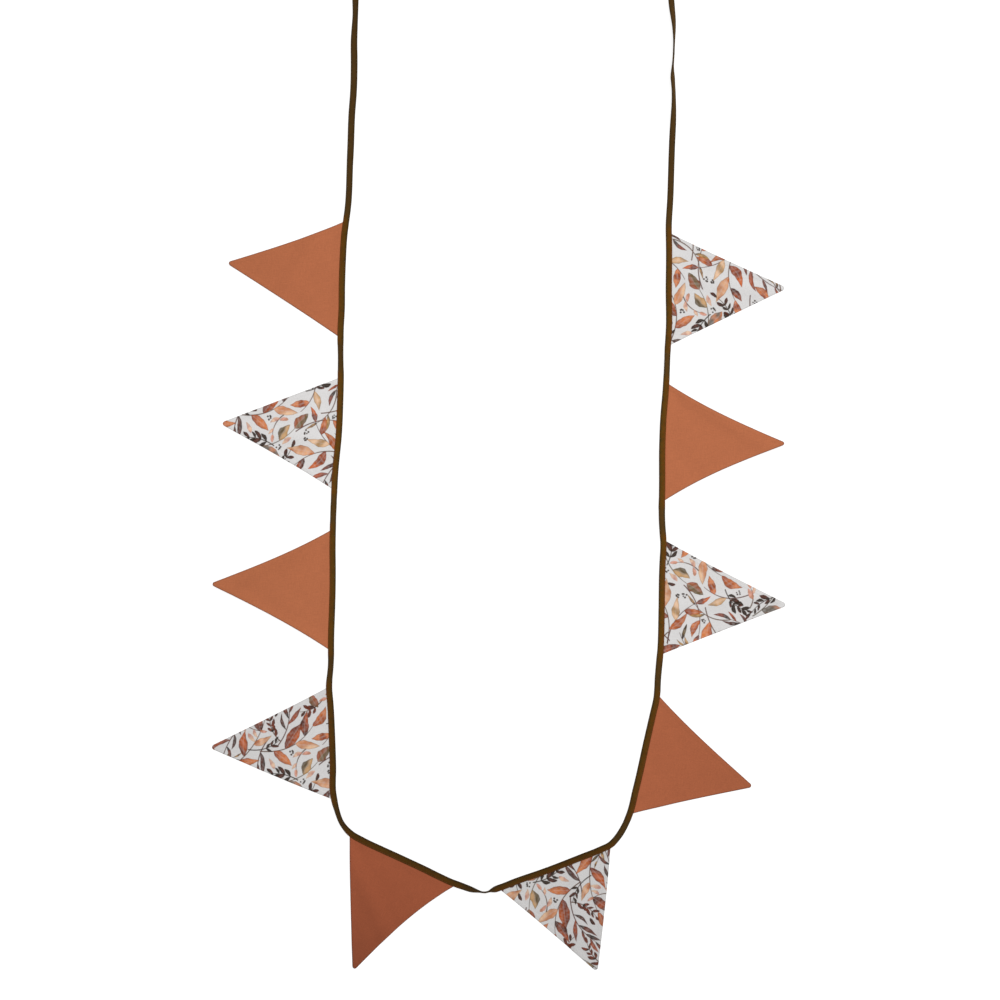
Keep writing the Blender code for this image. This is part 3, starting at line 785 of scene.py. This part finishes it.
def lay_out_print():
    """Where everything on the repeat goes.

    Each spray takes the roomiest of some places drawn at random, and a leaf of it that would lie on another
    is left out. Loose leaves and berries then take the roomiest of some places each.
    """
    draw = np.random.default_rng(PRINT_SEED)
    stems, leaves, berries = [], [], []
    taken = np.array([[0.0, 0.0, -REPEAT]])

    def place():
        return (*draw.uniform(0, REPEAT, 2), draw.uniform(0, 2 * math.pi))

    for spray in SPRAYS:
        for _ in range(spray.count):
            best = None
            for _ in range(PLACES_TRIED):
                stem = Stem(*place(), spray.length * draw.uniform(0.85, 1.15), spray.bow, spray.stalk)
                grown = list(spray_leaves(spray, stem, draw))
                discs = np.concatenate([leaf_discs(leaf) for leaf in grown])
                clear = room(discs, taken).reshape(-1, len(DISCS_AT)).min(1)
                stalk = np.c_[bowed(stem, np.linspace(0, 0.95, 12)), np.full(12, 0.8)]
                score = np.clip(clear, -5, 1.5).sum() + 0.5 * np.clip(room(stalk, taken), -3, 1).sum()
                if best is None or score > best[0]:
                    kept = [leaf for leaf, gap in zip(grown, clear) if gap > -OVERLAP_ALLOWED]
                    best = (score, stem, stalk, kept)
            _, stem, stalk, grown = best
            if len(grown) < 2:
                continue
            stems.append(stem)
            leaves += grown
            taken = np.concatenate([taken, stalk, *[leaf_discs(leaf) for leaf in grown]])
    for loose in LOOSE:
        for _ in range(loose.count):
            tries = [
                Leaf(loose.kind, *place(), loose.length, loose.bow, loose.inks, int(draw.integers(1000)))
                for _ in range(PLACES_TRIED)
            ]
            gaps = [room(leaf_discs(leaf), taken).min() for leaf in tries]
            if max(gaps) > 0:
                leaves.append(tries[int(np.argmax(gaps))])
                taken = np.concatenate([taken, leaf_discs(leaves[-1])])
    for group in BERRIES:
        for _ in range(group.clusters):
            spots = draw.uniform(0, REPEAT, (PLACES_TRIED, 2))
            gaps = room(np.c_[spots, np.full(PLACES_TRIED, group.spread + group.radius)], taken)
            centre = spots[int(np.argmax(gaps))]
            turn = 2 * math.pi * (np.arange(group.each) + draw.uniform(-0.35, 0.35, group.each)) / group.each
            reach = group.spread * draw.uniform(0.35, 1.0, group.each)
            dots = centre + reach[:, None] * np.stack([np.cos(turn), np.sin(turn)], -1)
            berries += [Berry(x, y, group.radius * draw.uniform(0.75, 1.1), group.ink) for x, y in dots]
            taken = np.concatenate([taken, [[*centre, group.spread + group.radius]]])
    return stems, leaves, berries


def from_mark(place, mark):
    """Each place near a mark in its own directions: along its bowed middle and to the left of it."""
    way, left = directions(mark.angle)
    centre = mark.length / 2 * way
    away = shortest(place - (mark.x, mark.y) - centre)
    near = np.flatnonzero(np.hypot(*away.T) < mark.length * 0.62 + 3)
    spot = away[near] + centre
    t = spot @ way / mark.length
    return near, spot, t, spot @ left - 4 * mark.bow * t * (1 - t)


def paint_stem(colour, place, stem):
    """A thin brush stroke along the bowed stem that thins towards its end."""
    near, _, t, off = from_mark(place, stem)
    cover = np.clip((0.95 - 0.5 * t - np.abs(off)) / 0.6 + 0.5, 0, 1) * ((t > -0.02) & (t < 1.0)) * 0.92
    colour[near] += (linear(INKS[stem.ink]) - colour[near]) * cover[:, None]


def paint_leaf(colour, place, leaf):
    """A watercolour leaf: two inks that run together, thin in places, pooled at its edge, with a pale rib."""
    style = KINDS[leaf.kind]
    near, spot, t, off = from_mark(place, leaf)
    if len(near) == 0:
        return
    on_leaf = (t > 0) & (t < 1)
    t = np.clip(t, 0, 1)
    wobble = 1 + 0.12 * math.sin(leaf.seed)
    wobble += 0.10 * np.sin(2.6 * math.pi * t + leaf.seed + 0.5 * np.sign(off))
    wobble += 0.05 * np.sin(7.1 * math.pi * t + 2 * leaf.seed + np.sign(off))
    half = leaf_width(leaf.kind, leaf.length, t) * wobble
    inside = half - np.abs(off)
    wash = 0.5 + 0.5 * np.clip(ripple(spot, leaf.length * 0.55, leaf.seed), -1, 1)
    bloom = 0.5 + 0.5 * np.clip(ripple(spot, 6.0, leaf.seed + 1), -1, 1)
    turn = np.tanh(off / (0.10 * leaf.length * style.full + 0.2)) * style.halves
    mixed = np.clip(0.5 + 0.38 * turn + 0.8 * (t - 0.45) + 0.9 * (wash - 0.5), 0, 1)[:, None]
    inks = [linear(INKS[name]) for name in leaf.inks]
    tone = inks[0] * (1 - mixed) + inks[1] * mixed
    tone = tone * (0.74 + 0.36 * wash)[:, None]
    tone = tone * (1 - style.wet_edge * np.exp(-((inside / 0.8) ** 2)))[:, None]
    thin = 1 - 0.15 * bloom * smoothstep(inside / 1.5) * smoothstep((leaf.length - 14) / 12)
    rib = 1 - style.rib * np.exp(-((off / 0.45) ** 2)) * smoothstep((0.85 - t) / 0.2) * smoothstep(t / 0.1)
    cover = np.clip(inside / 0.5 + 0.5, 0, 1) * on_leaf * style.ink * thin * rib
    colour[near] += (tone - colour[near]) * cover[:, None]


def paint_berry(colour, place, berry):
    """A round berry: a soft disc, lighter on one side, with a dark rim."""
    away = shortest(place - (berry.x, berry.y))
    far = np.hypot(*away.T)
    near = np.flatnonzero(far < berry.radius + 2)
    tone = linear(INKS[berry.ink]) * (1.0 + 0.5 * away[near, 1] / berry.radius)[:, None]
    dark = 0.7 * np.exp(-(((far[near] - berry.radius) / 0.9) ** 2))[:, None]
    tone = tone * (1 - dark) + linear(INKS["brown"]) * dark
    cover = np.clip((berry.radius - far[near]) / 0.5 + 0.5, 0, 1) * 0.93
    colour[near] += (tone - colour[near]) * cover[:, None]


def print_colours(place, ground, marks):
    """The leaf print at these places on the cloth: stems, then leaves, then berries."""
    colour = np.tile(np.asarray(ground, float), (len(place), 1))
    stems, leaves, berries = marks
    for stem in stems:
        paint_stem(colour, place, stem)
    for leaf in leaves:
        paint_leaf(colour, place, leaf)
    for berry in berries:
        paint_berry(colour, place, berry)
    return colour


def make_pennant(number, pennant, route, settings, material, rows, paint=None):
    """Two layers turned right side out: thicker over the seam turnings and rounded at the seam.

    Thickness is T sqrt(1 - (1 - d / rim)^2) at d from the seam, where T falls from its seam value to its
    middle value past the turnings. Both layers share their points on the seam, so the sheet is closed.
    """
    plan = pennant_plan(pennant, route, rows)
    seam = plan.seam
    turned = 1 - smoothstep((seam - settings.turning * MM) / TURNING_END)
    whole = (settings.thickness + (settings.seam_thickness - settings.thickness) * turned) * MM
    opened = np.sqrt(1 - (1 - np.clip(seam / ROUNDED_RIM, 0, 1)) ** 2)
    thick = whole * np.where(plan.top, 0.0, opened)
    under = relief(number, pennant, plan) + crumple(number, plan, settings)
    under = np.where(plan.in_tab, SOLID_TAPE_THICK / 2 - whole / 2, under)
    mid = under + whole / 2
    blended = smoothstep(plan.out / SLOT_END)
    mid = np.where(plan.in_tab, mid, mid * blended + (SOLID_TAPE_THICK / 2) * (1 - blended)) + plan.rise
    upper = np.c_[plan.flat, mid + thick / 2]
    inside = ~plan.rim
    lower = np.c_[plan.flat, mid - thick / 2][inside]
    lower_number = np.arange(len(upper))
    lower_number[inside] = len(upper) + np.arange(len(lower))
    faces = [plan.faces, lower_number[plan.faces][:, ::-1]]
    front = np.stack([plan.along, plan.out], -1)
    back = front[inside] * (-1, 1)
    # Painted shade: darker towards the tip by fade, and a printed pennant darker all over by its shade.
    tone = 1 - pennant.fade * plan.fraction**1.5
    colours = None
    if paint:
        x, y, turn = pennant.window
        spin = directions(math.radians(turn))
        colours = {"leaf_print": np.concatenate([
            paint(front @ spin + (x, y)), paint(back @ spin + (x, y) + BACK_SHIFT)])}
        tone = tone * pennant.shade
    numbers = {name: np.concatenate([one, one[inside]]) for name, one in (("seam", seam), ("tone", tone))}
    piece = put_mesh(f"pennant_cloth_{number:02d}", np.concatenate([upper, lower]), faces, material,
                     uv=np.concatenate([front, back]), numbers=numbers, colours=colours)
    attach(piece, "root")
    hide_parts(f"pennant_{number:02d}_{pennant.cloth}")
    return piece


def amount(name, description, default, unit="NONE"):
    """A panel setting: a number."""
    return bpy.props.FloatProperty(name=name, description=description, default=default, unit=unit)


def length(name, description, metres):
    """A panel setting: a length in metres."""
    return amount(name, description, metres, "LENGTH")


def screen_colour(name, description, screen):
    """A panel setting: a colour, given as it looks on screen."""
    return bpy.props.FloatVectorProperty(
        name=name, description=description, default=tuple(linear(screen)), subtype="COLOR")


class BuntingTape(bpy.types.PropertyGroup):
    width: length("Width", "Width of the folded tape", 0.0100)
    wall: length("Wall", "Thickness of one half of the tape with its turned edge", 0.00056)
    stitch_inset: length("Stitch inset", "From the tape's open edge to the stitches", 0.0015)
    stitch_pitch: length("Stitch pitch", "From one stitch to the next", 0.003)
    thread: length("Thread", "Thickness of the thread", 0.00036)
    colour: screen_colour("Tape colour", "Middle of the tape", (95, 68, 15))
    # Painted shade: the dark colour of the tape's edges and fold, also used for its random mottle
    edge_shade_and_mottle_colour: screen_colour("Edge colour", "Along the tape's edges", (58, 45, 17))
    warm_colour: screen_colour("Warm colour", "Rubbed patches, and along the stitches", (112, 62, 6))
    bare_colour: screen_colour("Bare colour", "Where the tape holds no pennant", (80, 60, 31))
    thread_colour: screen_colour("Thread colour", "Sewing thread", (104, 78, 34))


class BuntingCloth(bpy.types.PropertyGroup):
    thickness: length("Thickness", "Two layers of cotton", 0.0010)
    seam_thickness: length("Seam thickness", "Over the seam turnings", 0.00145)
    turning: length("Seam turning", "Width of the cloth turned in at a seam", 0.0055)
    pucker: length("Pucker", "Height of the puckers along the seams", 0.0002)
    swell: length("Swell", "Height of the slow swells in the middle", 0.0005)
    terracotta: screen_colour("Terracotta", "Plain pennants", (181, 105, 70))
    white: screen_colour("White", "Ground of the printed pennants", (231, 229, 228))


class BuntingStage(bpy.types.PropertyGroup):
    dome: amount("Dome light", "Light from all round", 0.70)
    key: amount("Key light", "Power of the large soft light", 88.0, "POWER")
    floor_glow: amount("Floor glow", "Light that the floor gives back", 0.80)
    camera_height: length("Camera height", "Above the floor", 6.0)
    frame_width: length("Frame width", "Width of floor in the picture", 1.5)


class BUNTING_OT_tape(bpy.types.Operator):
    """Make the folded binding tape and its two rows of stitches"""

    bl_idname = "bunting.tape"
    bl_label = "Tape and stitches"

    def execute(self, context):
        settings = context.scene.bunting_tape
        route = Route(ROUTE)
        stitches = make_stitches(route, settings, sewing_thread(settings.thread_colour))
        tape, total = make_tape(route, settings, binding_cotton(settings))
        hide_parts("binding_tape")
        for piece in (tape, stitches):
            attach(piece, "root")
        return {"FINISHED"}


class BUNTING_OT_plain_pennants(bpy.types.Operator):
    """Make the plain terracotta pennants"""

    bl_idname = "bunting.plain_pennants"
    bl_label = "Plain pennants"

    def execute(self, context):
        settings = context.scene.bunting_cloth
        route = Route(ROUTE)
        for number, pennant in enumerate(PENNANTS, start=1):
            if pennant.cloth == "plain":
                # Painted shade: each plain pennant gets its own copy of the terracotta, darkened by its
                # shade.
                tone = np.array(settings.terracotta) * pennant.shade ** SHADE_POWERS
                material = cotton(f"shaded_terracotta_cotton_{number:02d}", 0.03, colour=tone)
                piece = make_pennant(number, pennant, route, settings, material, PLAIN_ROWS)
        return {"FINISHED"}


class BUNTING_OT_printed_pennants(bpy.types.Operator):
    """Make the white pennants with their autumn leaf print"""

    bl_idname = "bunting.printed_pennants"
    bl_label = "Printed pennants"

    def execute(self, context):
        settings = context.scene.bunting_cloth
        route = Route(ROUTE)
        material = cotton(
            "leaf_print_cotton", 0.02, paint="leaf_print", mottle=0.015, slub=0.05, seam_shade=0.80)
        marks = lay_out_print()

        def paint(place):
            return print_colours(place, settings.white, marks)

        for number, pennant in enumerate(PENNANTS, start=1):
            if pennant.cloth == "print":
                piece = make_pennant(number, pennant, route, settings, material, PRINT_ROWS, paint)
        return {"FINISHED"}


class BUNTING_OT_stage(bpy.types.Operator):
    """Make the pale floor, the soft light and the camera straight above"""

    bl_idname = "bunting.stage"
    bl_label = "Floor, light and camera"

    def execute(self, context):
        settings = context.scene.bunting_stage
        scene = context.scene
        scene.view_settings.view_transform = "Standard"
        nodes = Nodes("pale_floor")
        nodes.fill(nodes.shader, {
            "Base Color": (0.36, 0.36, 0.36, 1), "Roughness": 0.9, "Specular IOR Level": 0.1,
            "Emission Color": (1, 1, 1, 1), "Emission Strength": settings.floor_glow})
        corners = np.array([(-1, -1), (1, -1), (1, 1), (-1, 1)]) * FLOOR_REACH
        floor = put_mesh("floor", np.c_[corners, np.full(4, FLOOR_HEIGHT)], [np.array([[0, 1, 2, 3]])],
                         nodes.material)

        world = bpy.data.worlds.new("white_surround")
        world.use_nodes = True
        background = world.node_tree.nodes["Background"]
        background.inputs["Color"].default_value = (1, 1, 1, 1)
        background.inputs["Strength"].default_value = settings.dome
        scene.world = world

        lamp = bpy.data.lights.new("soft_key", "AREA")
        lamp.shape, lamp.size = "SQUARE", KEY_SIZE
        lamp.energy = settings.key
        key = bpy.data.objects.new("soft_key", lamp)
        key.location = KEY_PLACE
        key.rotation_euler = (-key.location).to_track_quat("-Z", "Y").to_euler()
        key.visible_camera = False
        scene.collection.objects.link(key)

        lens = bpy.data.cameras.new("straight_above")
        lens.sensor_width = SENSOR
        lens.lens = SENSOR * settings.camera_height / settings.frame_width
        lens.clip_end = 100.0
        camera = bpy.data.objects.new("straight_above", lens)
        camera.location = (*CAMERA_OVER, settings.camera_height)
        scene.collection.objects.link(camera)
        scene.camera = camera
        return {"FINISHED"}


class BUNTING_PT_panel(bpy.types.Panel):
    """Lists the bunting's pieces and their sizes in the sidebar"""

    bl_label = "Bunting"
    bl_space_type = "VIEW_3D"
    bl_region_type = "UI"
    bl_category = "Bunting"

    def draw(self, context):
        for group in ("bunting_tape", "bunting_cloth", "bunting_stage"):
            box = self.layout.box()
            for name in getattr(context.scene, group).__annotations__:
                box.prop(getattr(context.scene, group), name)
        for operator in OPERATORS:
            self.layout.operator(operator.bl_idname)


GROUPS = {"bunting_tape": BuntingTape, "bunting_cloth": BuntingCloth, "bunting_stage": BuntingStage}
OPERATORS = (BUNTING_OT_tape, BUNTING_OT_plain_pennants, BUNTING_OT_printed_pennants, BUNTING_OT_stage)


def register():
    for name, group in GROUPS.items():
        bpy.utils.register_class(group)
        setattr(bpy.types.Scene, name, bpy.props.PointerProperty(type=group))
    for part in (*OPERATORS, BUNTING_PT_panel):
        bpy.utils.register_class(part)


def unregister():
    for part in (BUNTING_PT_panel, *reversed(OPERATORS)):
        bpy.utils.unregister_class(part)
    for name, group in reversed(GROUPS.items()):
        delattr(bpy.types.Scene, name)
        bpy.utils.unregister_class(group)


def main():
    """Clears Blender's own first objects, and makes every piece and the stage."""
    for name in ("Cube", "Light", "Camera"):
        if name in bpy.data.objects:
            bpy.data.objects.remove(bpy.data.objects[name])
    register()
    bpy.ops.bunting.tape()
    bpy.ops.bunting.plain_pennants()
    bpy.ops.bunting.printed_pennants()
    bpy.ops.bunting.stage()


if __name__ == "__main__":
    main()
